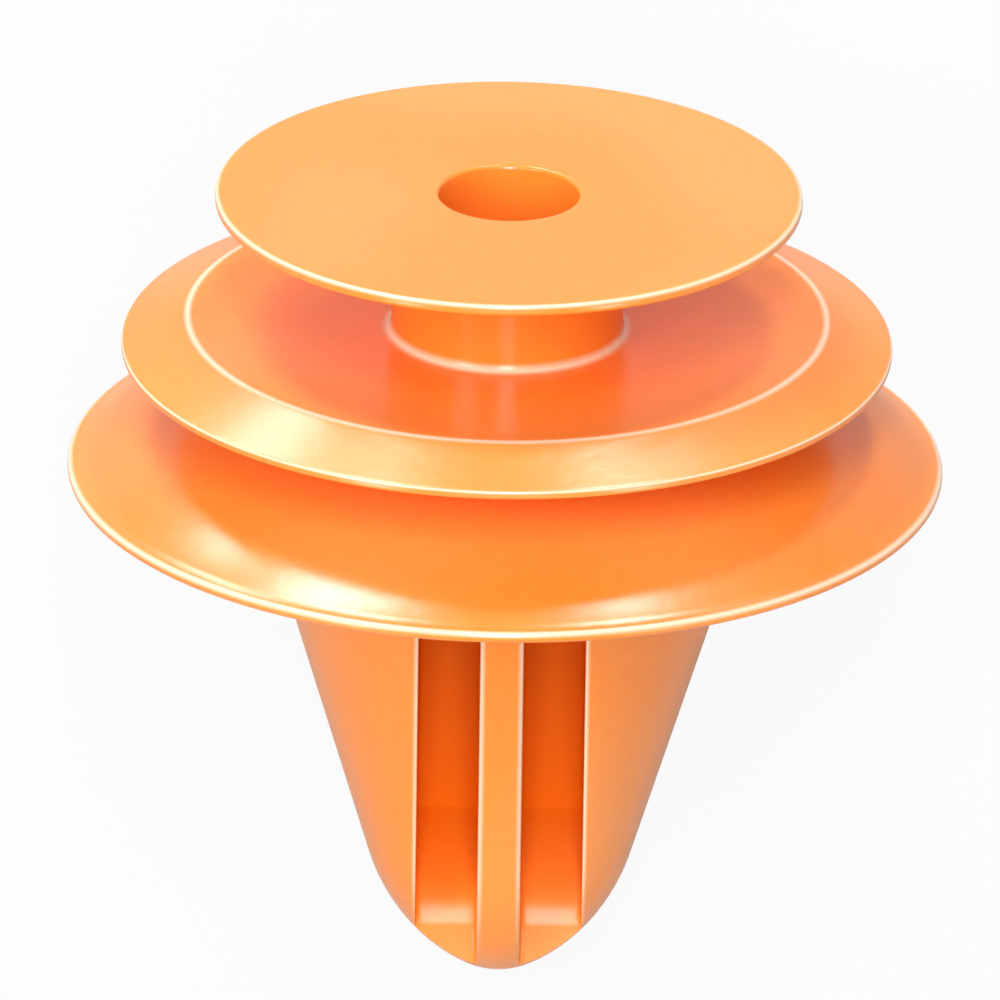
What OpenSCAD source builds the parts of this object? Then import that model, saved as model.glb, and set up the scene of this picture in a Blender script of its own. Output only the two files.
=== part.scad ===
// Push-in retaining clip for a trim panel, moulded in one piece.
// It is drawn standing on its head: the head's outer face lies on z = 0, the nose points to +Z
// and the two grooves face -Y. At the end it is laid down as it rests on a table, on the rim of
// its skirt and the side of its nose, with the grooves up. All sizes are in millimetres.

/* [Head] */
// Diameter of the flat round head
head_d = 13.4; // [12:0.1:16]
// Thickness of the head at its rim
head_rim_t = 0.35; // [0.25:0.05:0.6]
// How much thicker the head is at the neck than at its rim
head_cone_h = 0.6; // [0.3:0.05:1]

/* [Bore] */
// Diameter of the blind bore in the middle of the head
bore_d = 3.2; // [2.4:0.1:3.6]
// Depth of the bore below the head's outer face
bore_depth = 6; // [3:0.1:6.2]
// Width of the small chamfer round the bore's mouth
bore_mouth = 0.1; // [0.05:0.05:0.3]

/* [Neck] */
// Diameter of the neck that sits in the trim's keyhole slot
neck_d = 5.3; // [4.8:0.1:6.4]
// Height of the neck, from the head to the dish of the collar
neck_h = 2.4; // [2:0.1:4]

/* [Collar] */
// Diameter of the collar, the middle disc
collar_d = 17.6; // [16.4:0.1:19]
// Diameter of the ridge between the collar's dished face and its bevel
collar_ridge_d = 14.6; // [12:0.1:15.4]
// How far the collar's face dips from the ridge to the neck
collar_dish_h = 0.28; // [0.1:0.02:0.6]
// How far the bevel falls from the ridge to the rim
collar_bevel_h = 0.56; // [0.3:0.02:0.8]
// Thickness of the collar at its rim
collar_rim_t = 0.25; // [0.2:0.05:0.4]
// Thickness of the collar at the hub
collar_root_t = 0.95; // [0.9:0.05:1.4]

/* [Skirt] */
// Diameter of the umbrella skirt that seals on the panel
skirt_d = 20; // [19.2:0.1:24]
// Gap between the collar and the skirt at the hub
skirt_gap = 0.45; // [0.3:0.05:0.8]
// How far the skirt falls from the hub to its rim
skirt_drop = 1.9; // [1.5:0.05:2.4]
// Radius of the arc by which the skirt flares, larger is straighter
skirt_flare_r = 14; // [10:0.5:40]
// Thickness of the skirt at the hub
skirt_root_t = 0.5; // [0.4:0.05:0.7]
// Thickness of the skirt at its rim
skirt_rim_t = 0.28; // [0.2:0.02:0.36]

/* [Hub] */
// Diameter of the hub that fills the panel's hole
hub_d = 9.1; // [8.4:0.1:9.6]
// Length of the hub below the top of the skirt
hub_h = 2; // [1.6:0.1:3]

/* [Shank] */
// Distance from the head's outer face to the end of the nose
clip_l = 19.15; // [17.5:0.05:24]
// Diameter over the wings at their widest
wing_d = 10.66; // [9.9:0.02:11.6]
// Height of the ramp from the free ends of the wings to their widest
wing_ramp_h = 1.45; // [1:0.05:2]
// Height of the slit that frees the ends of the wings from the hub
wing_slit = 0.35; // [0.25:0.05:0.6]
// Diameter to which the straight flanks would taper at the end of the nose
flank_tip_d = 4.26; // [3.9:0.02:5]
// Radius of the arc between the flanks and the nose
shoulder_r = 4.8; // [3.5:0.1:7]
// Radius of the end of the nose
nose_r = 1.85; // [1.4:0.05:1.9]

/* [Grooves] */
// Width of the rib between the two grooves
rib_w = 1; // [0.8:0.05:1.4]
// Width of each groove
groove_w = 1.4; // [1:0.05:1.6]
// Thickness of the wall behind the grooves
back_wall = 0.9; // [0.6:0.05:1.2]
// Distance from the end of the nose to where the groove floors start to sweep forward
sweep_l = 5.7; // [4.5:0.1:7]
// How far in front of the axis the groove floors run out through the nose
groove_exit = 0.7; // [0.4:0.05:1]

/* [Hidden] */
$fn = 96;

NYLON = [1, 0.6, 0.26];
EDGE = 0.08;
OVERCUT = 1;
ARC_STEPS = 14;
LIP_STEPS = 4;

head_r = head_d / 2;
neck_r = neck_d / 2;
hub_r = hub_d / 2;
wing_r = wing_d / 2;

head_root_z = head_rim_t + head_cone_h;
collar_dish_z = head_root_z + neck_h;
collar_ridge_z = collar_dish_z - collar_dish_h;
collar_rim_z = collar_ridge_z + collar_bevel_h;
collar_root_z = collar_dish_z + collar_root_t;
skirt_root_z = collar_root_z + skirt_gap;
skirt_rim_z = skirt_root_z + skirt_drop;
hub_end_z = skirt_root_z + hub_h;
wing_top_z = hub_end_z + wing_slit;
wing_z = wing_top_z + wing_ramp_h;

// The skirt ends in a full round
skirt_lip_r = skirt_rim_t / 2;
skirt_lip = [skirt_d / 2 - skirt_lip_r, skirt_rim_z + skirt_lip_r];

// The flanks, and the shoulder arc that touches both the flank and the nose arc
flank_angle = atan((wing_d - flank_tip_d) / 2 / (clip_l - wing_z));
flank_out = [cos(flank_angle), sin(flank_angle)];
flank_up = [sin(flank_angle), -cos(flank_angle)];
nose_c = [0, clip_l - nose_r];
nose_to_flank = flank_r(nose_c.y) * cos(flank_angle);
shoulder_in = shoulder_r - nose_to_flank;
shoulder_c = nose_c - shoulder_in * flank_out + sqrt(pow(shoulder_r - nose_r, 2) - pow(shoulder_in, 2)) * flank_up;
blend_angle = atan2(nose_c.y - shoulder_c.y, nose_c.x - shoulder_c.x);

// What cuts the shank reaches past the wings and stays inside the skirt
shank_reach = wing_r + OVERCUT;

// The groove floor leaves the back wall along an arc that runs out through the nose
rib_x = rib_w / 2;
groove_x = rib_x + groove_w;
wall_y = back_wall / cos(flank_angle);
sweep_z = clip_l - sweep_l;
sweep_start = [flank_r(sweep_z) - wall_y, sweep_z];
sweep_end = [-groove_exit, nose_c.y + sqrt(pow(nose_r, 2) - pow(groove_exit, 2))];
sweep_chord = sweep_end - sweep_start;
sweep_r = -sweep_chord * sweep_chord / (2 * sweep_chord * flank_out);
sweep_c = sweep_start - sweep_r * flank_out;
sweep_end_angle = atan2(sweep_end.y - sweep_c.y, sweep_end.x - sweep_c.x);

// The clip rests on the line that touches the skirt's lip and the shoulder of the nose
lip_to_shoulder = shoulder_c - skirt_lip;
lay_angle = atan2(-lip_to_shoulder.x, lip_to_shoulder.y) - asin((shoulder_r - skirt_lip_r) / norm(lip_to_shoulder));
rest_z = skirt_lip.x * cos(lay_angle) + skirt_lip.y * sin(lay_angle) + skirt_lip_r;
head_end_y = head_r * sin(lay_angle);
nose_end_y = -nose_c.y * cos(lay_angle) - nose_r;

// Radius of the straight flank at a height z
function flank_r(z) = flank_tip_d / 2 + (clip_l - z) * tan(flank_angle);

// Points of an arc about a centre, from one angle to another
function arc(centre, radius, from, to, steps = ARC_STEPS) =
    [for (i = [0 : steps]) centre + radius * angled(from + (to - from) * i / steps)];
function angled(a) = [cos(a), sin(a)];

// Points of an arc of a given radius from p to q, which bows to the right of the way from p to q
function bow(p, q, radius) =
    let (
        way = q - p,
        left = [-way.y, way.x] / norm(way),
        centre = (p + q) / 2 + left * sqrt(pow(radius, 2) - way * way / 4),
        start = p - centre,
        end = q - centre
    )
    arc(centre, radius, atan2(start.y, start.x), atan2(end.y, end.x));

// Flat disc with a coned underside that runs into the neck
module head_outline() {
    polygon([
        [0, 0],
        [head_r - EDGE, 0],
        [head_r, EDGE],
        [head_r, head_rim_t - EDGE],
        [head_r - EDGE, head_rim_t],
        [neck_r, head_root_z],
        [0, head_root_z]
    ]);
}

module neck_outline() {
    translate([0, head_rim_t])
        square([neck_r, collar_root_z - head_rim_t]);
}

// Disc with a dished face, a ridge and a bevel that falls to the rim
module collar_outline() {
    polygon([
        [0, collar_dish_z],
        [neck_r, collar_dish_z],
        [collar_ridge_d / 2, collar_ridge_z],
        [collar_d / 2 - EDGE, collar_rim_z],
        [collar_d / 2, collar_rim_z + EDGE],
        [collar_d / 2, collar_rim_z + collar_rim_t - EDGE],
        [collar_d / 2 - EDGE, collar_rim_z + collar_rim_t],
        [hub_r, collar_root_z],
        [0, collar_root_z]
    ]);
}

// Thin umbrella that flares from the hub to a round lip
module skirt_outline() {
    top = bow([hub_r, skirt_root_z], skirt_lip - [0, skirt_lip_r], skirt_flare_r);
    under = bow([hub_r, skirt_root_z + skirt_root_t], skirt_lip + [0, skirt_lip_r], skirt_flare_r);
    lip = arc(skirt_lip, skirt_lip_r, -90, 90, LIP_STEPS);
    polygon(concat(
        [[0, skirt_root_z]],
        top,
        lip,
        [for (i = [ARC_STEPS : -1 : 0]) under[i]],
        [[0, skirt_root_z + skirt_root_t]]
    ));
}

module hub_outline() {
    translate([0, collar_dish_z])
        square([hub_r, wing_top_z - collar_dish_z]);
}

// Bullet that widens down the ramp to the wings and tapers to the rounded nose
module shank_outline() {
    polygon(concat(
        [[0, hub_end_z], [hub_r, hub_end_z], [hub_r, wing_top_z], [wing_r, wing_z]],
        arc(shoulder_c, shoulder_r, flank_angle, blend_angle),
        arc(nose_c, nose_r, blend_angle, 90)
    ));
}

module turned_body() {
    rotate_extrude() {
        head_outline();
        neck_outline();
        collar_outline();
        skirt_outline();
        hub_outline();
        shank_outline();
    }
}

module bore() {
    translate([0, 0, -OVERCUT])
        cylinder(d = bore_d, h = bore_depth + OVERCUT);
    translate([0, 0, -EDGE])
        cylinder(r1 = bore_d / 2 + bore_mouth + EDGE, r2 = bore_d / 2, h = bore_mouth + EDGE);
}

// Side view of what a groove removes, in front of the floor that follows the back wall and runs out
module groove_outline() {
    run_out = sweep_end + OVERCUT * [-sin(sweep_end_angle), cos(sweep_end_angle)];
    polygon(concat(
        [[-shank_reach, hub_end_z], [hub_r - back_wall, hub_end_z], [hub_r - back_wall, wing_top_z]],
        [[wing_r - wall_y, wing_z]],
        arc(sweep_c, sweep_r, flank_angle, sweep_end_angle),
        [run_out, [-shank_reach, run_out.y]]
    ));
}

module grooves() {
    for (x = [-groove_x, rib_x])
        translate([x, 0, 0])
            rotate([90, 0, 90])
                linear_extrude(height = groove_w)
                    groove_outline();
}

// Slits over the two wings, which hang from the back wall alone so that they can fold in
module wing_slits() {
    for (side = [0, 1])
        mirror([side, 0, 0])
            intersection() {
                translate([groove_x - EDGE, -shank_reach, hub_end_z])
                    cube([shank_reach, 2 * shank_reach, wing_slit]);
                cylinder(r = shank_reach, h = clip_l);
            }
}

module retaining_clip() {
    color(NYLON)
        translate([0, -(head_end_y + nose_end_y) / 2, rest_z])
            rotate([-90 - lay_angle, 0, 180])
                difference() {
                    turned_body();
                    bore();
                    grooves();
                    wing_slits();
                }
}

retaining_clip();
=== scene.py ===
"""Looks of the orange nylon retaining clip: head with a bore, neck, collar, skirt, hub and grooved shank.

The clip lies on the rim of its skirt and the side of its nose, with the two grooves up. Its surface is
worked out in a frame of its own, in millimetres: the head's outer face lies on z = 0, the nose points to +z
and the grooves face -y. The finished mesh is in the row frame, in metres.
"""

import logging
import math
from dataclasses import dataclass, field
from enum import Enum

import bpy
import numpy as np
from mathutils import Matrix, Vector


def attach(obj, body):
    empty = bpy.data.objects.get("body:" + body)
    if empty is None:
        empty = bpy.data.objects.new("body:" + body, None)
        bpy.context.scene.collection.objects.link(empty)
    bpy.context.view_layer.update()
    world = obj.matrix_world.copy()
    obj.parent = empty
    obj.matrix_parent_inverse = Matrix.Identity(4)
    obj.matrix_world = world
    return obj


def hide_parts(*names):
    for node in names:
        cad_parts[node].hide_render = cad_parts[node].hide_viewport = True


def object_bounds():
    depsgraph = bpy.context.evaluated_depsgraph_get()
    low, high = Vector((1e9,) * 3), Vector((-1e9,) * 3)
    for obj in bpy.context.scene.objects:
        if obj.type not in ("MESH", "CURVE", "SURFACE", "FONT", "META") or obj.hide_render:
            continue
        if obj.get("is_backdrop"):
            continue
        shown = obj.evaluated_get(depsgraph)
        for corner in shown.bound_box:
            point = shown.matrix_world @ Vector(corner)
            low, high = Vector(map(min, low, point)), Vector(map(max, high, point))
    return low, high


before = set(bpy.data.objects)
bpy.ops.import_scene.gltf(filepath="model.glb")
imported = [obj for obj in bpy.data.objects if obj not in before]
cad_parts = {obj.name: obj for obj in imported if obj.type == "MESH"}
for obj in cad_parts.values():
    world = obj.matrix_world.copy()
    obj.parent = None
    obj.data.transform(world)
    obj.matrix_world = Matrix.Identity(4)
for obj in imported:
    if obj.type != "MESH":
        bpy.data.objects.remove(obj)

LOG = logging.getLogger("retaining_clip")
MM = 0.001
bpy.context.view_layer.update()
BODY = "root"
CAD_NODE = "retaining_clip"
# Mesh attributes: depth in a groove, which sets a painted shade there, and a painted highlight on rounded
# edges
DEPTH = "depth_in_groove"
EDGE_HIGHLIGHT = "painted_edge_highlight"
SIDE_POINTS = (0.0, 0.05, 0.35, 0.65, 0.95)


def linear(code: str) -> tuple[float, float, float, float]:
    """Turn an sRGB colour, written as six hex digits, into the linear values that a shader takes.

    Args:
        code: The colour as RRGGBB.

    Returns:
        Red, green, blue and an alpha of 1. Each channel c becomes c / 12.92 if it is at most 0.04045, and
        otherwise ((c + 0.055) / 1.055) to the power 2.4.
    """
    srgb = np.array([int(code[i : i + 2], 16) for i in (0, 2, 4)]) / 255
    rgb = np.where(srgb <= 0.04045, srgb / 12.92, ((srgb + 0.055) / 1.055) ** 2.4)
    return (float(rgb[0]), float(rgb[1]), float(rgb[2]), 1.0)


def add_node(
    tree: bpy.types.NodeTree, kind: str, settings: dict | None = None, **inputs: object
) -> bpy.types.Node:
    """Add a node to a tree, set its properties and fill or link its sockets.

    Args:
        tree: The node tree.
        kind: The node's type name.
        settings: Properties of the node itself.
        **inputs: Socket values by name, with _ for a space. A socket as the value is linked, and so is the
            first output in use of a node.

    Returns:
        The new node.
    """
    node = tree.nodes.new(kind)
    for name, value in (settings or {}).items():
        setattr(node, name, value)
    for name, value in inputs.items():
        socket = next(s for s in node.inputs if s.enabled and s.name == name.replace("_", " "))
        if isinstance(value, bpy.types.Node):
            value = next(s for s in value.outputs if s.enabled)
        if isinstance(value, bpy.types.NodeSocket):
            tree.links.new(value, socket)
        else:
            socket.default_value = value
    return node


def steps(count: int) -> np.ndarray:
    """Count + 1 even steps from 0 to 1."""
    return np.linspace(0.0, 1.0, count + 1)


def tent(count: int) -> np.ndarray:
    """Count + 1 values that rise evenly from 0 to 1 in the middle and fall back to 0."""
    return 1 - np.abs(2 * steps(count) - 1)


def bend(start: np.ndarray, corner: np.ndarray, end: np.ndarray, count: int) -> np.ndarray:
    """Round a corner with a quadratic curve.

    The point at t is (1 - t)^2 start + 2 t (1 - t) corner + t^2 end, which leaves along one side of the
    corner and arrives along the other.

    Args:
        start: Where the curve leaves the first side, shape (..., 2).
        corner: Where the two sides would meet, shape (..., 2).
        end: Where the curve joins the second side, shape (..., 2).
        count: Number of steps.

    Returns:
        The curve's points, shape (..., count + 1, 2).
    """
    t = steps(count)[:, None]
    start, corner, end = (p[..., None, :] for p in (start, corner, end))
    return (1 - t) ** 2 * start + 2 * t * (1 - t) * corner + t**2 * end


def straight(start: np.ndarray, end: np.ndarray, count: int) -> np.ndarray:
    """Even steps along the line from start to end, shape (..., count + 1, 2)."""
    t = steps(count)[:, None]
    return (1 - t) * start[..., None, :] + t * end[..., None, :]


def arc(centre: tuple[float, float], radius: float, first: float, last: float, count: int) -> np.ndarray:
    """Points of an arc: centre + radius (cos a, sin a), with a running evenly from first to last.

    Args:
        centre: The arc's centre.
        radius: The arc's radius.
        first: Angle of the first point, in radians.
        last: Angle of the last point, in radians.
        count: Number of steps.

    Returns:
        The points, shape (count + 1, 2).
    """
    a = first + (last - first) * steps(count)
    return np.array(centre) + radius * np.stack([np.cos(a), np.sin(a)], 1)


def bow(p: np.ndarray, q: np.ndarray, radius: float, count: int) -> np.ndarray:
    """Arc of a given radius from p to q, which bows to the right of the way from p to q.

    The centre stands off the middle of the chord, to its left, by the square root of the radius squared
    less half the chord squared.

    Args:
        p: First end.
        q: Last end.
        radius: The arc's radius.
        count: Number of steps.

    Returns:
        The points, shape (count + 1, 2).
    """
    way = q - p
    left = np.array([-way[1], way[0]]) / np.linalg.norm(way)
    centre = (p + q) / 2 + left * math.sqrt(radius**2 - way @ way / 4)
    first, last = (math.atan2(*(e - centre)[::-1]) for e in (p, q))
    return arc(tuple(centre), radius, first, last, count)


def rounded(corners: list[tuple[float, ...]], count: int) -> np.ndarray:
    """Follow straight sides from corner to corner, with each inner corner turned into a smooth bend.

    A bend begins and ends r tan(turn / 2) from its corner, as a true arc of radius r would. Each side
    gets its points at the shares SIDE_POINTS of its length, two of them close to the bends, so that the
    shading of a flat side stays flat.

    Args:
        corners: Radius, height and corner radius of each corner, and 1 more for an edge that gets a painted
        highlight line. The first and last aren't rounded.
        count: Number of steps in each bend.

    Returns:
        The profile's points and their share of painted edge highlight, shape (n, 3). The share grows from 0
        at both ends of a highlighted edge's bend to 1 at its middle.
    """
    points = np.array([c[:2] for c in corners])
    highlight = np.array([len(c) > 3 for c in corners[1:-1]], float)
    radii = np.array([c[2] for c in corners])
    sides = np.diff(points, axis=0)
    ways = sides / np.linalg.norm(sides, axis=1)[:, None]
    turn = np.arccos(np.clip((ways[:-1] * ways[1:]).sum(1), -1, 1))
    reach = radii[1:-1] * np.tan(turn / 2)
    inner = points[1:-1]
    bends = bend(inner - reach[:, None] * ways[:-1], inner, inner + reach[:, None] * ways[1:], count)
    bends = np.concatenate([bends, highlight[:, None, None] * tent(count)[:, None]], axis=2)
    start, end = (np.append(points[i], 0.0) for i in (0, -1))
    along = np.array(SIDE_POINTS)[:, None]
    pieces, before = [], start
    for curve in [*bends, end[None]]:
        pieces += [before + along * (curve[0] - before), curve[:-1]]
        before = curve[-1]
    return np.vstack([*pieces, end[None]])


@dataclass
class TurnedBody:
    """Everything that is round about the clip's axis, from the bore's floor to the end of the hub, in mm.

    The rims of the head and the collar are a little thinner than the solid's, as the photograph shows them.
    """

    bore_r: float = 1.6
    bore_depth: float = 6.0
    bore_mouth_r: float = 0.12
    head_r: float = 6.7
    head_rim_t: float = 0.26
    head_rim_r: float = 0.11
    head_root_z: float = 0.95
    neck_r: float = 2.65
    neck_fillet_r: float = 0.22
    collar_dish_z: float = 3.35
    collar_ridge: tuple[float, float] = (7.3, 3.07)
    collar_ridge_r: float = 0.5
    collar_rim: tuple[float, float] = (8.8, 3.7)
    collar_rim_t: float = 0.18
    collar_rim_r: float = 0.08
    collar_root_z: float = 4.3
    skirt_root_z: float = 4.75
    skirt_root_t: float = 0.5
    skirt_lip: tuple[float, float] = (9.86, 6.79)
    skirt_lip_r: float = 0.14
    skirt_flare_r: float = 14.0
    hub_r: float = 4.55
    hub_end_z: float = 6.75
    hub_fillet_r: float = 0.1
    bend_steps: int = 6
    skirt_steps: int = 26

    def profile(self) -> np.ndarray:
        """Work out the profile that is turned about the axis.

        Returns:
            Radius, height and painted edge highlight of each point, from the middle of the bore's floor up
            its wall, over the head, down the neck, over the collar and the skirt, and down the hub.
        """
        lip = np.array(self.skirt_lip)
        off = np.array([0.0, self.skirt_lip_r])
        root = np.array([self.hub_r, self.skirt_root_z])
        under_root = root + [0.0, self.skirt_root_t]
        top = bow(root, lip - off, self.skirt_flare_r, self.skirt_steps)
        under = bow(under_root, lip + off, self.skirt_flare_r, self.skirt_steps)[::-1]
        rim_r, rim_z = self.collar_rim
        # A fourth entry of 1 gives that corner's bend a painted highlight line
        upper = rounded(
            [
                (0.0, self.bore_depth, 0.0),
                (self.bore_r, self.bore_depth, self.bore_mouth_r),
                (self.bore_r, 0.0, self.bore_mouth_r),
                (self.head_r, 0.0, self.head_rim_r, 1),
                (self.head_r, self.head_rim_t, self.head_rim_r),
                (self.neck_r, self.head_root_z, self.neck_fillet_r),
                (self.neck_r, self.collar_dish_z, self.neck_fillet_r, 1),
                (*self.collar_ridge, self.collar_ridge_r, 1),
                (rim_r, rim_z, self.collar_rim_r, 1),
                (rim_r, rim_z + self.collar_rim_t, self.collar_rim_r),
                (self.hub_r, self.collar_root_z, self.hub_fillet_r),
                (*root, self.hub_fillet_r),
                (*top[1], 0.0),
            ],
            self.bend_steps,
        )
        # The outer half of the skirt's lip takes a painted highlight
        lip_curve = arc(self.skirt_lip, self.skirt_lip_r, -math.pi / 2, math.pi / 2, self.bend_steps * 2)
        lip_highlight = np.append(tent(self.bend_steps), np.zeros(self.bend_steps))
        upper_skirt, lower_skirt = (np.pad(side, ((0, 0), (0, 1))) for side in (top[2:-1], under[1:-2]))
        lower = rounded(
            [(*under[-2], 0.0), (*under_root, self.hub_fillet_r), (self.hub_r, self.hub_end_z, 0.0)],
            self.bend_steps,
        )
        return np.vstack([upper, upper_skirt, np.column_stack([lip_curve, lip_highlight]), lower_skirt, lower])


class LoopPart(Enum):
    """Parts of half a shank section: their place from the rib's middle to the back's, and their steps."""

    RIB_FACE = (0, 6)
    RIB_EDGE = (1, 5)
    RIB_WALL = (2, 10)
    RIB_CORNER = (3, 4)
    FLOOR = (4, 6)
    WING_CORNER = (5, 4)
    WING_WALL = (6, 10)
    WING_EDGE = (7, 5)
    FLANK = (8, 56)
    BACK = (9, 9)

    @property
    def count(self) -> int:
        """Number of steps in this part."""
        return self.value[1]

    @property
    def end(self) -> int:
        """Number of steps from the rib's middle to the end of this part."""
        return sum(part.count for part in LoopPart if part.value[0] <= self.value[0])


@dataclass
class Shank:
    """The grooved bullet below the hub, in mm. Each section across it is shaped like an E."""

    hub_r: float = TurnedBody.hub_r
    slit_z: float = TurnedBody.hub_end_z
    wing_top_z: float = 7.1
    wing_z: float = 8.55
    wing_r: float = 5.33
    crest_r: float = 0.6
    clip_l: float = 19.15
    flank_tip_r: float = 2.13
    shoulder_r: float = 4.8
    nose_r: float = 1.85
    rib_x: float = 0.5
    groove_x: float = 1.9
    web_x: float = 1.85
    back_wall: float = 0.9
    sweep_l: float = 5.7
    groove_exit: float = 0.7
    exit_y: float = -1.15
    exit_z: tuple[float, float] = (15.0, 17.9)
    edge_r: float = 0.14
    corner_r: float = 0.12
    end_r: float = 0.05
    rib_share: float = 0.45
    wing_share: float = 0.4
    widest_rib: float = math.radians(40)
    widest_back: float = math.radians(50)
    widest_lean: float = math.radians(80)
    closing_angle: float = 0.02
    closing_levels: int = 15
    tip_r: float = 1e-9
    wing_end_steps: int = 8
    flank_steps: int = 14
    shoulder_steps: int = 44
    nose_steps: int = 22
    fade_mm: float = 4.5

    @property
    def flank_angle(self) -> float:
        """Angle between the straight flank and the axis, in radians."""
        return math.atan2(self.wing_r - self.flank_tip_r, self.clip_l - self.wing_z)

    @property
    def flank_out(self) -> np.ndarray:
        """Unit vector straight out of the flank, as radius and height."""
        return np.array([math.cos(self.flank_angle), math.sin(self.flank_angle)])

    @property
    def nose_z(self) -> float:
        """Height of the middle of the nose's round end."""
        return self.clip_l - self.nose_r

    @property
    def shoulder_c(self) -> np.ndarray:
        """Centre of the shoulder's arc, which touches both the flank and the nose's round end.

        It lies shoulder_r inside the flank and shoulder_r - nose_r from the middle of the nose's end: this
        is the long side of a right triangle, with one leg square to the flank and the other along it.

        Returns:
            The centre, as radius and height.
        """
        nose = np.array([0.0, self.nose_z])
        nose_to_flank = (np.array([self.wing_r, self.wing_z]) - nose) @ self.flank_out
        inward = self.shoulder_r - nose_to_flank
        along = math.sqrt((self.shoulder_r - self.nose_r) ** 2 - inward**2)
        up_flank = np.array([self.flank_out[1], -self.flank_out[0]])
        return nose - inward * self.flank_out + along * up_flank

    @property
    def wall_y(self) -> float:
        """Thickness of the back wall, measured square to the axis where it follows the flank."""
        return self.back_wall / self.flank_out[0]

    @property
    def sweep_start(self) -> np.ndarray:
        """Where the groove floor leaves the back wall.

        Returns:
            The distance behind the axis and the height.
        """
        z = self.clip_l - self.sweep_l
        flank_r = self.flank_tip_r + (self.clip_l - z) * math.tan(self.flank_angle)
        return np.array([flank_r - self.wall_y, z])

    def levels(self) -> np.ndarray:
        """Follow the shank's outline from the wings' free ends over the flank and shoulder to the nose's tip.

        Returns:
            Radius and height of each section, shape (sections, 2).
        """
        blend = math.atan2(self.nose_z - self.shoulder_c[1], -self.shoulder_c[0])
        shoulder = arc(self.shoulder_c, self.shoulder_r, self.flank_angle, blend, self.shoulder_steps)
        nose = arc((0.0, self.nose_z), self.nose_r, blend, math.pi / 2, self.nose_steps)
        sides = rounded(
            [
                (self.hub_r - self.end_r, self.wing_top_z, 0.0),
                (self.hub_r, self.wing_top_z + self.end_r, 0.0),
                (self.wing_r, self.wing_z, self.crest_r),
                (*shoulder[0], 0.0),
            ],
            self.wing_end_steps,
        )[:, :2]
        flank = straight(sides[-2], shoulder[0], self.flank_steps)
        return np.vstack([sides[:-2], flank[:-1], shoulder, nose[1:]])

    def floor_y(self, z: np.ndarray) -> np.ndarray:
        """Distance of the groove floor behind the axis at each height.

        The floor follows the back wall, along the ramp and the flank, and from the sweep's start an arc
        that runs forward: y = centre + the square root of the radius squared less (z - centre) squared.
        The arc starts parallel to the flank and aims for the point of the nose that lies groove_exit in
        front of the axis, so its radius is the chord squared over twice the chord's way into the flank.
        Over exit_z the floor passes from the arc to a straight run-out at exit_y, by 3 t^2 - 2 t^3 of the
        way, with t running from 0 to 1.

        Args:
            z: Heights of the sections.

        Returns:
            The floor's y at each height.
        """
        start = self.sweep_start
        knots_z = [self.wing_top_z, self.wing_z, start[1]]
        knots_y = [self.hub_r - self.back_wall, self.wing_r - self.wall_y, start[0]]
        end = np.array([-self.groove_exit, self.nose_z + math.sqrt(self.nose_r**2 - self.groove_exit**2)])
        chord = end - start
        radius = -(chord @ chord) / (2 * chord @ self.flank_out)
        centre_y, centre_z = start - radius * self.flank_out
        swept = centre_y + np.sqrt(np.clip(radius**2 - (z - centre_z) ** 2, 0.0, None))
        t = np.clip((z - self.exit_z[0]) / (self.exit_z[1] - self.exit_z[0]), 0.0, 1.0)
        swept += t**2 * (3 - 2 * t) * (self.exit_y - swept)
        return np.where(z > start[1], swept, np.interp(z, knots_z, knots_y))

    def round_half(self, r: np.ndarray, spread: np.ndarray) -> np.ndarray:
        """Half a round section with as many points as a grooved one.

        Args:
            r: Radius of each section.
            spread: Angle over which the groove's points lie, in radians.

        Returns:
            The points, shape (sections, points, 2).
        """
        rib = np.arcsin(np.clip(self.rib_x / r, 0.0, math.sin(self.widest_rib)))
        back = math.pi - np.arcsin(np.clip(self.web_x / r, 0.0, math.sin(self.widest_back)))
        inside = LoopPart.WING_EDGE.end - LoopPart.RIB_FACE.end
        a = np.concatenate(
            [
                rib[:, None] * steps(LoopPart.RIB_FACE.count)[:-1],
                rib[:, None] + spread[:, None] * steps(inside)[:-1],
                (rib + spread)[:, None] + (back - rib - spread)[:, None] * steps(LoopPart.FLANK.count)[:-1],
                back[:, None] + (math.pi - back)[:, None] * steps(LoopPart.BACK.count),
            ],
            axis=1,
        )
        return r[:, None, None] * np.stack([np.sin(a), -np.cos(a)], 2)

    def turned_angles(self) -> np.ndarray:
        """Angles of half a turned ring, which lie over the points of the shank's sections.

        Returns:
            The angles from the front, in radians.
        """
        spread = np.array([math.asin(self.groove_x / self.hub_r) - math.asin(self.rib_x / self.hub_r)])
        half = self.round_half(np.array([self.hub_r]), spread)[0]
        return np.arctan2(half[:, 0], -half[:, 1])

    def grooved_half(self, r: np.ndarray, floor: np.ndarray) -> np.ndarray:
        """Half an E-shaped section at each level.

        It runs from the middle of the rib's face over the rib's rounded edge, down the rib's side, along the
        groove's floor, up the wing's inner wall, over the wing's rounded edge and round the flank to the
        middle of the back. Where the floor runs out of the round outline the wing's wall has no height, and
        the floor ends on the outline, at x = the square root of r squared less floor squared.

        Args:
            r: Radius of each section.
            floor: The groove floor's y at each section.

        Returns:
            The points, shape (sections, points, 2).
        """

        def face(x: np.ndarray) -> np.ndarray:
            """Front of the outline at x: minus the square root of r squared less x squared."""
            return -np.sqrt(np.clip(r**2 - x**2, 0.0, None))

        def at(x: np.ndarray | float, y: np.ndarray | float) -> np.ndarray:
            """Points from x and y, one for each section."""
            return np.stack(np.broadcast_arrays(x + 0 * r, y + 0 * r), 1)

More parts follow.
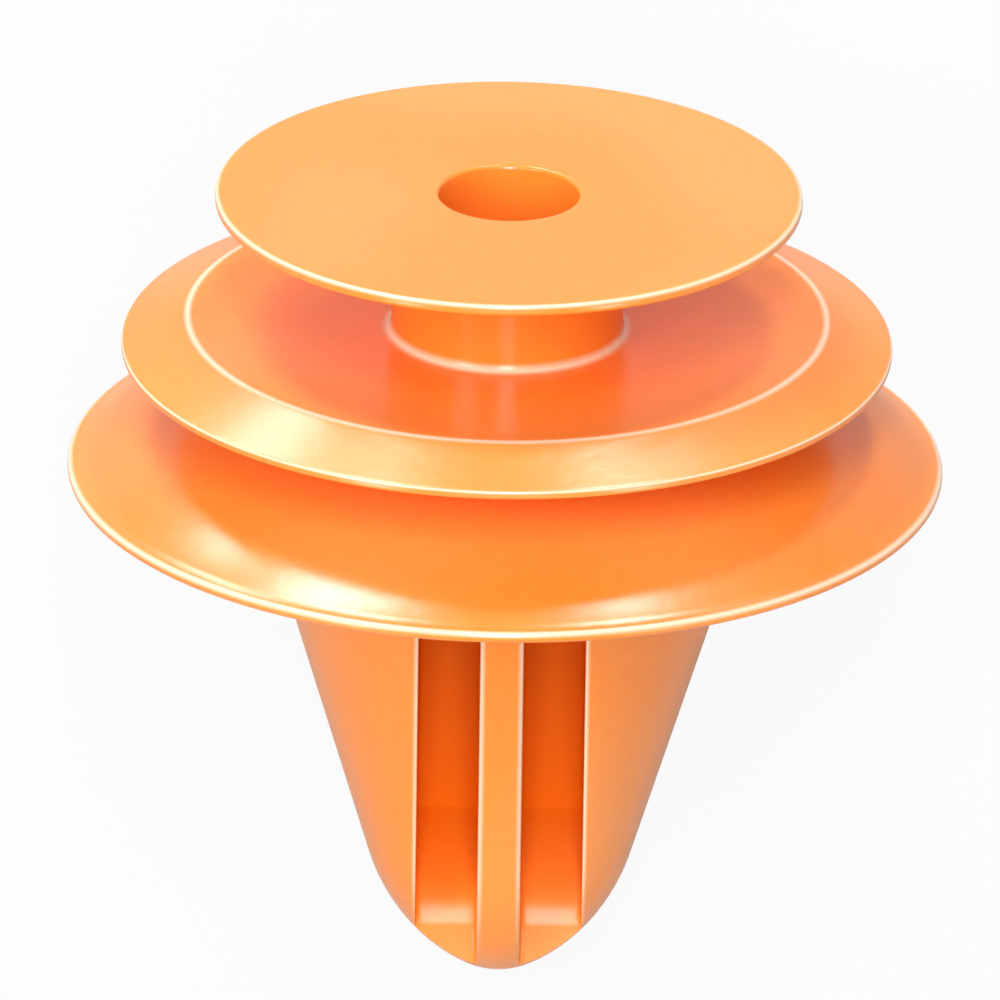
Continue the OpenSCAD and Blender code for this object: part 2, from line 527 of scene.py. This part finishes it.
        a = self.rib_x
        run_out = np.sqrt(np.clip(r**2 - floor**2, 0.0, None))
        b = np.minimum(self.groove_x, run_out)
        walled = (r > self.groove_x) & (run_out >= self.groove_x)
        rib_h = np.clip(floor - face(a), 0.0, None)
        wing_h = np.where(walled, np.clip(floor - face(b), 0.0, None), 0.0)
        wide = np.clip(b - a, 0.0, None)
        rib_e = np.minimum(self.edge_r, self.rib_share * rib_h)
        wing_e = np.minimum(self.edge_r, self.wing_share * wing_h)
        rib_f = np.minimum(self.corner_r, self.rib_share * np.minimum(rib_h, wide))
        wing_f = np.minimum(self.corner_r, self.wing_share * np.minimum(wing_h, wide))

        edge = at(a - rib_e, face(a - rib_e))
        edge_k = at(a, edge[:, 1] + rib_e * (a - rib_e) / np.maximum(-edge[:, 1], 1e-6))
        wall_top, wall_end = at(a, face(a) + rib_e), at(a, floor - rib_f)
        floor_a, floor_b = at(a + rib_f, floor), at(b - wing_f, floor)
        wing_low = at(b, floor - wing_f)
        wing_top = at(b, np.where(walled, face(b) + wing_e, floor))
        start = np.where(walled, np.arcsin(np.clip(b / r, 0, 1)) + wing_e / r, np.arctan2(b, -floor))
        flank = r[:, None] * np.stack([np.sin(start), -np.cos(start)], 1)
        lean = (flank[:, 0] - b) * np.tan(np.minimum(start, self.widest_lean))
        wing_k = at(b, np.where(walled, flank[:, 1] - lean, floor))
        back = math.pi - np.arcsin(np.clip(self.web_x / r, 0.0, math.sin(self.widest_back)))
        turn = start[:, None] + (back - start)[:, None] * steps(LoopPart.FLANK.count)[:-1]
        rest = back[:, None] + (math.pi - back)[:, None] * steps(LoopPart.BACK.count)
        x = (a - rib_e)[:, None] * steps(LoopPart.RIB_FACE.count)[:-1]
        rib = np.stack([x, -np.sqrt(np.clip(r[:, None] ** 2 - x**2, 0.0, None))], 2)
        angles = np.concatenate([turn, rest], axis=1)
        return np.concatenate(
            [
                rib,
                bend(edge, edge_k, wall_top, LoopPart.RIB_EDGE.count)[:, :-1],
                straight(wall_top, wall_end, LoopPart.RIB_WALL.count)[:, :-1],
                bend(wall_end, at(a, floor), floor_a, LoopPart.RIB_CORNER.count)[:, :-1],
                straight(floor_a, floor_b, LoopPart.FLOOR.count)[:, :-1],
                bend(floor_b, at(b, floor), wing_low, LoopPart.WING_CORNER.count)[:, :-1],
                straight(wing_low, wing_top, LoopPart.WING_WALL.count)[:, :-1],
                bend(wing_top, wing_k, flank, LoopPart.WING_EDGE.count)[:, :-1],
                r[:, None, None] * np.stack([np.sin(angles), -np.cos(angles)], 2),
            ],
            axis=1,
        )

    def web_half(self) -> np.ndarray:
        """Half the section in the slit, where the rib and the back wall are and the wings don't reach.

        Returns:
            The points, shape (points, 2).
        """
        floor_y = self.hub_r - self.back_wall
        half = self.grooved_half(np.array([self.hub_r]), np.array([floor_y]))[0]
        first, flank = LoopPart.FLOOR.end, LoopPart.WING_EDGE.end
        half[:first, 0] = np.minimum(half[:first, 0], self.web_x)
        half[first:flank] = self.web_x, floor_y
        end = np.array([self.web_x, math.sqrt(self.hub_r**2 - self.web_x**2)])
        half[flank : LoopPart.FLANK.end] = straight(half[flank - 1], end, LoopPart.FLANK.count)[:-1]
        return half

    def sections(self) -> np.ndarray:
        """Every half section from the slit to the nose's tip.

        Past the grooves the sections are round, and the points that lay in a groove spread out by
        closing_angle more from level to level.

        Returns:
            The points, shape (sections, points, 3).
        """
        r, z = self.levels().T
        floor = self.floor_y(z)
        run_out = np.sqrt(np.clip(r**2 - floor**2, 0.0, None))
        closed = (run_out <= self.rib_x) | ((floor < 0) & (floor <= -r))
        spread = self.closing_angle * np.clip(np.cumsum(closed) - 1, 0, self.closing_levels)
        r = np.maximum(r, self.tip_r)
        halves = np.where(closed[:, None, None], self.round_half(r, spread), self.grooved_half(r, floor))
        web = self.web_half()
        flat = np.concatenate([np.stack([web, web]), halves])
        heights = np.concatenate([[self.slit_z, self.wing_top_z], z])
        lifted = np.broadcast_to(heights[:, None, None], (*flat.shape[:2], 1))
        return np.concatenate([flat, lifted], axis=2)

    def marks(self) -> np.ndarray:
        """How deep in a groove each point lies, and how pale an edge it is on.

        A groove's walls and floor count by how far the floor lies below the outline in the middle of the
        groove, over fade_mm; this depth sets the painted shade in the grooves. The rib's and the wings' edges
        are pale over their rounding, a painted highlight.

        Returns:
            The depth and the painted edge highlight, each from 0 to 1, shape (sections, points, 2).
        """
        r, z = self.levels().T
        middle = (self.rib_x + self.groove_x) / 2
        sunk = self.floor_y(z) + np.sqrt(np.clip(r**2 - middle**2, 0.0, None))
        share = np.concatenate([[1.0, 1.0], np.clip(sunk / self.fade_mm, 0.0, 1.0)])
        inside, edge = np.zeros((2, LoopPart.BACK.end + 1))
        inside[LoopPart.RIB_EDGE.end : LoopPart.WING_WALL.end + 1] = 1.0
        # The rounded edges of the rib and the wings take a painted highlight
        for part in (LoopPart.RIB_EDGE, LoopPart.WING_EDGE):
            edge[part.end - part.count : part.end + 1] = tent(part.count)
        return np.stack([share[:, None] * inside, share[:, None] * edge], 2)


@dataclass(frozen=True)
class NylonFinish:
    """Injection-moulded orange nylon with a satin skin.

    Nylon is slightly translucent: light spreads a little below its skin. The colour also holds painted
    light: a painted highlight, paler, on the rounded edges, a painted shade, deeper orange, in the grooves,
    which are also rougher and shine less, and broad pale patches that are partly flow marks and partly a
    painted sheen.
    """

    name: str = "nylon_orange_moulded_satin"
    colour: str = "FF8A2B"
    grain_colour: str = "FF9638"
    # Partly a painted sheen: pale patches at random over the skin
    flow_and_sheen_colour: str = "FFB273"
    # Painted shade: deeper orange in the grooves
    groove_shade_colour: str = "FF7A00"
    # Painted highlight: paler colour on the rounded edges
    edge_highlight_colour: str = "FFE4C6"
    # Typical of nylon
    ior: float = 1.53
    shine: float = 0.5
    deep_shine: float = 0.1
    roughness: float = 0.23
    deep_roughness: float = 0.6
    glow: float = 0.15
    glow_radius: tuple[float, float, float] = (1.0, 0.35, 0.12)
    glow_mm: float = 0.4
    # Soft paler patches at random, partly flow marks where the melt met in the mould and partly a painted
    # sheen. The noise between these two values brings them in
    flow_and_sheen_mm: float = 7.0
    flow_and_sheen_from: float = 0.42
    flow_and_sheen_to: float = 0.66
    flow_and_sheen_share: float = 0.22
    # A moulded grain is about 0.1 mm wide. It is drawn as coarse as it needs to show
    grain_mm: float = 0.35
    grain_depth_mm: float = 0.004
    grain_detail: float = 3.0
    grain_roughness: float = 0.6

    def build(self) -> bpy.types.Material:
        """Make the material.

        Returns:
            A principled shader. Its colour varies a little with a fine noise and with a broad one, whose pale
            patches are partly flow marks and partly a painted sheen. By the mesh's attributes it takes a
            painted shade in the grooves and a painted highlight on the edges. The fine noise also gives the
            skin its relief.
        """
        material = bpy.data.materials.new(self.name)
        material.use_nodes = True
        tree = material.node_tree
        tree.nodes.clear()
        place = add_node(tree, "ShaderNodeTexCoord").outputs["Object"]
        grain = add_node(
            tree,
            "ShaderNodeTexNoise",
            Vector=place,
            Scale=1 / (self.grain_mm * MM),
            Detail=self.grain_detail,
            Roughness=self.grain_roughness,
        )
        flow_and_sheen_noise = add_node(tree, "ShaderNodeTexNoise", Vector=place, Scale=1 / (self.flow_and_sheen_mm * MM), Detail=0.0)
        marks = add_node(
            tree,
            "ShaderNodeMapRange",
            Value=flow_and_sheen_noise,
            From_Min=self.flow_and_sheen_from,
            From_Max=self.flow_and_sheen_to,
            To_Max=self.flow_and_sheen_share,
        )
        deep = add_node(tree, "ShaderNodeAttribute", {"attribute_name": DEPTH}).outputs["Fac"]
        edge = add_node(tree, "ShaderNodeAttribute", {"attribute_name": EDGE_HIGHLIGHT}).outputs["Fac"]
        colour = linear(self.colour)
        # Colour layers: fine grain; broad patches, partly a painted sheen; painted shade in the grooves;
        # painted highlight on the edges
        layers = [
            (grain, self.grain_colour),
            (marks, self.flow_and_sheen_colour),
            (deep, self.groove_shade_colour),
            (edge, self.edge_highlight_colour),
        ]
        for share, code in layers:
            mix = {"data_type": "RGBA"}
            colour = add_node(tree, "ShaderNodeMix", mix, Factor=share, A=colour, B=linear(code))
        bump = add_node(tree, "ShaderNodeBump", Strength=1.0, Distance=self.grain_depth_mm * MM, Height=grain)
        skin = add_node(
            tree,
            "ShaderNodeBsdfPrincipled",
            Base_Color=colour,
            Roughness=add_node(
                tree, "ShaderNodeMapRange", Value=deep, To_Min=self.roughness, To_Max=self.deep_roughness
            ),
            IOR=self.ior,
            Specular_IOR_Level=add_node(
                tree, "ShaderNodeMapRange", Value=deep, To_Min=self.shine, To_Max=self.deep_shine
            ),
            Subsurface_Weight=self.glow,
            Subsurface_Radius=self.glow_radius,
            Subsurface_Scale=self.glow_mm * MM,
            Normal=bump,
        )
        add_node(tree, "ShaderNodeOutputMaterial", Surface=skin)
        return material


@dataclass
class RetainingClip:
    """The whole clip as one closed surface, laid down in the row frame."""

    turned: TurnedBody = field(default_factory=TurnedBody)
    shank: Shank = field(default_factory=Shank)
    finish: NylonFinish = field(default_factory=NylonFinish)
    weld_mm: float = 0.0002
    sharp_angle: float = math.radians(38)

    @property
    def lay_angle(self) -> float:
        """Angle of the axis to the floor, which touches both the skirt's lip and the shoulder of the nose.

        The line between their centres leans by the atan2 of its two ways, and the floor leans less than
        that by the arcsine of the difference of the two radii over the centres' distance.

        Returns:
            The angle, in radians.
        """
        way = self.shank.shoulder_c - self.turned.skirt_lip
        closer = math.asin((self.shank.shoulder_r - self.turned.skirt_lip_r) / np.linalg.norm(way))
        return math.atan2(-way[0], way[1]) - closer

    def halves(self) -> np.ndarray:
        """Half of every ring, from the bore's floor to the nose's tip.

        A turned ring is the profile's point carried round the axis: x = r sin a, y = -r cos a.

        Returns:
            The points, shape (rings, points, 3).
        """
        a = self.shank.turned_angles()
        r, z, _ = self.turned.profile().T
        x, y = r[:, None] * np.sin(a), -r[:, None] * np.cos(a)
        rings = np.stack([x, y, np.broadcast_to(z[:, None], x.shape)], 2)
        return np.concatenate([rings, self.shank.sections()])

    def marks(self) -> np.ndarray:
        """Depth in a groove and paleness of an edge at each point of the half rings.

        Returns:
            The depth and the painted edge highlight, each from 0 to 1, shape (rings, points, 2).
        """
        # Painted highlight on the rims and ridges of the turned body
        highlight = self.turned.profile()[:, 2]
        shank = self.shank.marks()
        turned = np.zeros((len(highlight), *shank.shape[1:]))
        turned[:, :, 1] = highlight[:, None]
        return np.concatenate([turned, shank])

    def laid_down(self, points: np.ndarray) -> np.ndarray:
        """Carry points from the clip's own frame to the row frame.

        Across stays across, mirrored. With t the lay angle, the back's direction becomes (sin t, -cos t)
        and the nose's becomes (-cos t, -sin t) in the upright plane. Then the whole moves up until the lip
        of the skirt is on the floor, and along until the head and the nose are equally far from the middle.

        Args:
            points: Points in the clip's own frame, in mm, shape (..., 3).

        Returns:
            The points in the row frame, in metres.
        """
        s, c = math.sin(self.lay_angle), math.cos(self.lay_angle)
        lip_r, lip_z = self.turned.skirt_lip
        up = c * lip_r + s * lip_z + self.turned.skirt_lip_r
        along = (self.shank.nose_z * c + self.shank.nose_r - self.turned.head_r * s) / 2
        x, y, z = np.moveaxis(points, -1, 0)
        return np.stack([-x, s * y - c * z + along, -c * y - s * z + up], -1) * MM

    def mesh(self) -> bpy.types.Mesh:
        """Build the closed mesh.

        Each half ring is mirrored to a full one, neighbouring rings are joined by quads, and points that
        coincide, at the two poles and where a groove's wall has no height, are welded.

        Returns:
            The mesh, with outward normals and smooth shading that breaks at sharp edges.
        """
        halves = self.halves()
        mirrored = halves[:, -2:0:-1] * [-1, 1, 1]
        rings = np.concatenate([halves, mirrored], axis=1)
        count, around = rings.shape[:2]
        flat = rings.reshape(-1, 3)
        keys = np.round(flat / self.weld_mm).astype(np.int64)
        _, first, which = np.unique(keys, axis=0, return_index=True, return_inverse=True)
        index = which.reshape(count, around)
        ahead = np.roll(index, -1, axis=1)
        quads = np.stack([index[:-1], ahead[:-1], ahead[1:], index[1:]], 2).reshape(-1, 4)
        fresh = quads != np.roll(quads, 1, axis=1)
        quads, fresh = quads[fresh.sum(1) >= 3], fresh[fresh.sum(1) >= 3]
        pinched = (quads[:, 0] == quads[:, 2]) | (quads[:, 1] == quads[:, 3])
        quads, fresh = quads[~pinched], fresh[~pinched]
        whole = fresh.all(1)
        faces = quads[whole].tolist() + quads[~whole][fresh[~whole]].reshape(-1, 3).tolist()
        mesh = bpy.data.meshes.new(CAD_NODE + "_surface")
        mesh.from_pydata(self.laid_down(flat[first]).tolist(), [], faces)
        mesh.validate()
        marks = self.marks()
        marks = np.concatenate([marks, marks[:, -2:0:-1]], axis=1).reshape(-1, 2)[first]
        for name, values in zip((DEPTH, EDGE_HIGHLIGHT), np.ascontiguousarray(marks.T)):
            mesh.attributes.new(name, "FLOAT", "POINT").data.foreach_set("value", values)
        mesh.polygons.foreach_set("use_smooth", np.ones(len(mesh.polygons), bool))
        mesh.set_sharp_from_angle(angle=self.sharp_angle)
        mesh.update()
        return mesh

    def build(self) -> bpy.types.Object:
        """Make the clip's object, dress it and let it stand for the CAD node.

        Returns:
            The object.
        """
        mesh = self.mesh()
        mesh.materials.append(self.finish.build())
        clip = bpy.data.objects.new("clip_surface", mesh)
        bpy.context.scene.collection.objects.link(clip)
        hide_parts(CAD_NODE)
        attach(clip, BODY)
        return clip


@dataclass(frozen=True)
class SoftBox:
    """A soft box: direction from the clip in the row frame, distance, width and height in mm, and brightness.

    Its power is its brightness times pi times its area, so a larger one isn't brighter to look at.
    """

    direction: tuple[float, float, float]
    distance: float
    width: float
    height: float
    brightness: float

    def hang(self, name: str, middle: Vector) -> None:
        """Hang the soft box so that it faces the clip.

        Args:
            name: The lamp's name.
            middle: The middle of the clip, in metres.
        """
        light = bpy.data.lights.new(name, "AREA")
        light.shape = "RECTANGLE"
        light.size, light.size_y = self.width * MM, self.height * MM
        light.energy = self.brightness * light.size * light.size_y * math.pi
        hung = bpy.data.objects.new(name, light)
        bpy.context.scene.collection.objects.link(hung)
        toward = Vector(self.direction).normalized()
        hung.location = middle + toward * self.distance * MM
        hung.rotation_euler = toward.to_track_quat("Z", "Y").to_euler()


class Lamp(Enum):
    """The soft boxes round the clip."""

    # A long narrow strip that reaches the floors of the grooves
    ABOVE = SoftBox((0.0, -0.12, 0.99), 320.0, 56.0, 300.0, 19.0)
    SIDE_LEFT = SoftBox((-0.6, -0.16, 0.77), 320.0, 90.0, 90.0, 12.0)
    # Behind the head, mirrored by the rim of the skirt
    HIGH_LEFT = SoftBox((-0.29, 0.89, 0.34), 300.0, 76.0, 56.0, 28.0)
    HIGH_RIGHT = SoftBox((0.2, 0.89, 0.34), 300.0, 40.0, 52.0, 36.0)
    # Lower behind the head, mirrored by the collar's bevel
    LOW_LEFT = SoftBox((-0.38, 0.92, 0.04), 300.0, 64.0, 40.0, 18.0)
    LOW_RIGHT = SoftBox((0.24, 0.97, 0.08), 300.0, 20.0, 36.0, 9.0)
    # Before the nose, mirrored by the edges of the rib and the wings
    NEAR_LEFT = SoftBox((-0.59, -0.72, 0.36), 320.0, 50.0, 60.0, 14.0)
    NEAR_RIGHT = SoftBox((0.59, -0.72, 0.36), 320.0, 50.0, 60.0, 12.0)
    FRONT = SoftBox((0.0, -0.82, 0.57), 320.0, 150.0, 110.0, 2.0)


@dataclass
class Studio:
    """Pale floor, soft boxes, surroundings and camera, in mm and degrees."""

    frame_mm: float = 22.79
    frame_px: float = 1000.0
    head_px: tuple[float, float] = (509.0, 192.5)
    view_above_head: float = 23.0
    roll: float = 0.85
    distance: float = 1000.0
    sensor: float = 36.0
    nearest: float = 10.0
    farthest: float = 10000.0
    floor_size: float = 4000.0
    floor_colour: str = "B4B4B2"
    floor_white: float = 0.93
    gloss_white: float = 0.12
    sky_colour: str = "FFFFFF"
    sky_strength: float = 0.15

    def floor(self) -> bpy.types.Object:
        """Make the floor: matt, and partly lit by itself for the camera, so that it looks near white.

        Returns:
            The floor's object.
        """
        side = self.floor_size * MM / 2
        mesh = bpy.data.meshes.new("floor")
        corners = np.array([[-side, -side, 0], [side, -side, 0], [side, side, 0], [-side, side, 0]])
        mesh.from_pydata(corners.tolist(), [], [[0, 1, 2, 3]])
        material = bpy.data.materials.new("floor_matt_paper")
        material.use_nodes = True
        tree = material.node_tree
        tree.nodes.clear()
        matt = add_node(tree, "ShaderNodeBsdfDiffuse", Color=linear(self.floor_colour))
        white = add_node(tree, "ShaderNodeEmission", Color=linear(self.sky_colour), Strength=1.0)
        share = add_node(tree, "ShaderNodeMapRange", Value=self.seen_rays(tree), To_Max=self.floor_white)
        both = add_node(tree, "ShaderNodeMixShader", Fac=share)
        tree.links.new(matt.outputs["BSDF"], both.inputs[1])
        tree.links.new(white.outputs["Emission"], both.inputs[2])
        add_node(tree, "ShaderNodeOutputMaterial", Surface=both)
        mesh.materials.append(material)
        floor = bpy.data.objects.new("floor", mesh)
        bpy.context.scene.collection.objects.link(floor)
        floor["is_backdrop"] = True
        return floor

    def seen_rays(self, tree: bpy.types.NodeTree) -> bpy.types.Node:
        """Add nodes that tell how white the surroundings look to a ray.

        Args:
            tree: The node tree.

        Returns:
            A node that gives 1 for camera and see-through rays, gloss_white for mirror rays and 0 for others.
        """
        path = add_node(tree, "ShaderNodeLightPath").outputs
        seen = add_node(tree, "ShaderNodeMapRange", Value=path["Is Glossy Ray"], To_Max=self.gloss_white)
        for ray in ("Is Camera Ray", "Is Transmission Ray"):
            seen = add_node(tree, "ShaderNodeMix", Factor=path[ray], A=seen, B=1.0)
        return seen

    def sky(self) -> None:
        """Surround the clip with even soft light, which the camera sees as white."""
        world = bpy.data.worlds.new("soft_surroundings")
        bpy.context.scene.world = world
        world.use_nodes = True
        tree = world.node_tree
        tree.nodes.clear()
        colour = linear(self.sky_colour)
        soft = add_node(tree, "ShaderNodeBackground", Color=colour, Strength=self.sky_strength)
        white = add_node(tree, "ShaderNodeBackground", Color=colour, Strength=1.0)
        both = add_node(tree, "ShaderNodeMixShader", Fac=self.seen_rays(tree))
        tree.links.new(soft.outputs["Background"], both.inputs[1])
        tree.links.new(white.outputs["Background"], both.inputs[2])
        add_node(tree, "ShaderNodeOutputWorld", Surface=both)

    def lamps(self, middle: Vector) -> None:
        """Hang every soft box round the clip's middle, a point in metres."""
        for lamp in Lamp:
            lamp.value.hang(lamp.name.lower(), middle)

    def camera(self, clip: RetainingClip) -> None:
        """Set up the camera at the photograph's angle.

        It looks from the grooves' side and from above the head, so that the head's middle, the origin of
        the clip's own frame, falls on its pixel, and the frame's width at the clip is frame_mm.

        Args:
            clip: The clip, which gives the way from its own frame to the row frame.
        """
        up = math.radians(self.view_above_head)
        head = Vector(clip.laid_down(np.zeros(3)))
        toward = Vector(clip.laid_down(np.array([0.0, -math.cos(up), -math.sin(up)]))) - head
        toward.normalize()
        above = Vector(clip.laid_down(np.array([0.0, math.sin(up), -math.cos(up)]))) - head
        above.normalize()
        across = above.cross(toward)
        turned = Matrix.Rotation(math.radians(self.roll), 3, toward)
        across, above = turned @ across, turned @ above
        pixel = self.frame_mm * MM / self.frame_px
        right, rise = self.head_px[0] - self.frame_px / 2, self.frame_px / 2 - self.head_px[1]
        aim = head - across * right * pixel - above * rise * pixel
        data = bpy.data.cameras.new("camera")
        data.sensor_width = self.sensor
        data.lens = self.sensor * self.distance / self.frame_mm
        data.clip_start, data.clip_end = self.nearest * MM, self.farthest * MM
        camera = bpy.data.objects.new("camera", data)
        bpy.context.scene.collection.objects.link(camera)
        turn = Matrix((across, above, toward)).transposed().to_4x4()
        camera.matrix_world = Matrix.Translation(aim + toward * self.distance * MM) @ turn
        bpy.context.scene.camera = camera


def main() -> None:
    """Build the clip and the studio."""
    logging.basicConfig(level=logging.INFO, format="%(name)s: %(message)s")
    bpy.context.scene.view_settings.view_transform = "Standard"
    clip = RetainingClip()
    surface = clip.build()
    LOG.info("%s: %d points, %d faces", surface.name, len(surface.data.vertices), len(surface.data.polygons))
    studio = Studio()
    LOG.info("%s laid", studio.floor().name)
    studio.sky()
    low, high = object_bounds()
    studio.lamps((low + high) / 2)
    studio.camera(clip)


if __name__ == "__main__":
    main()
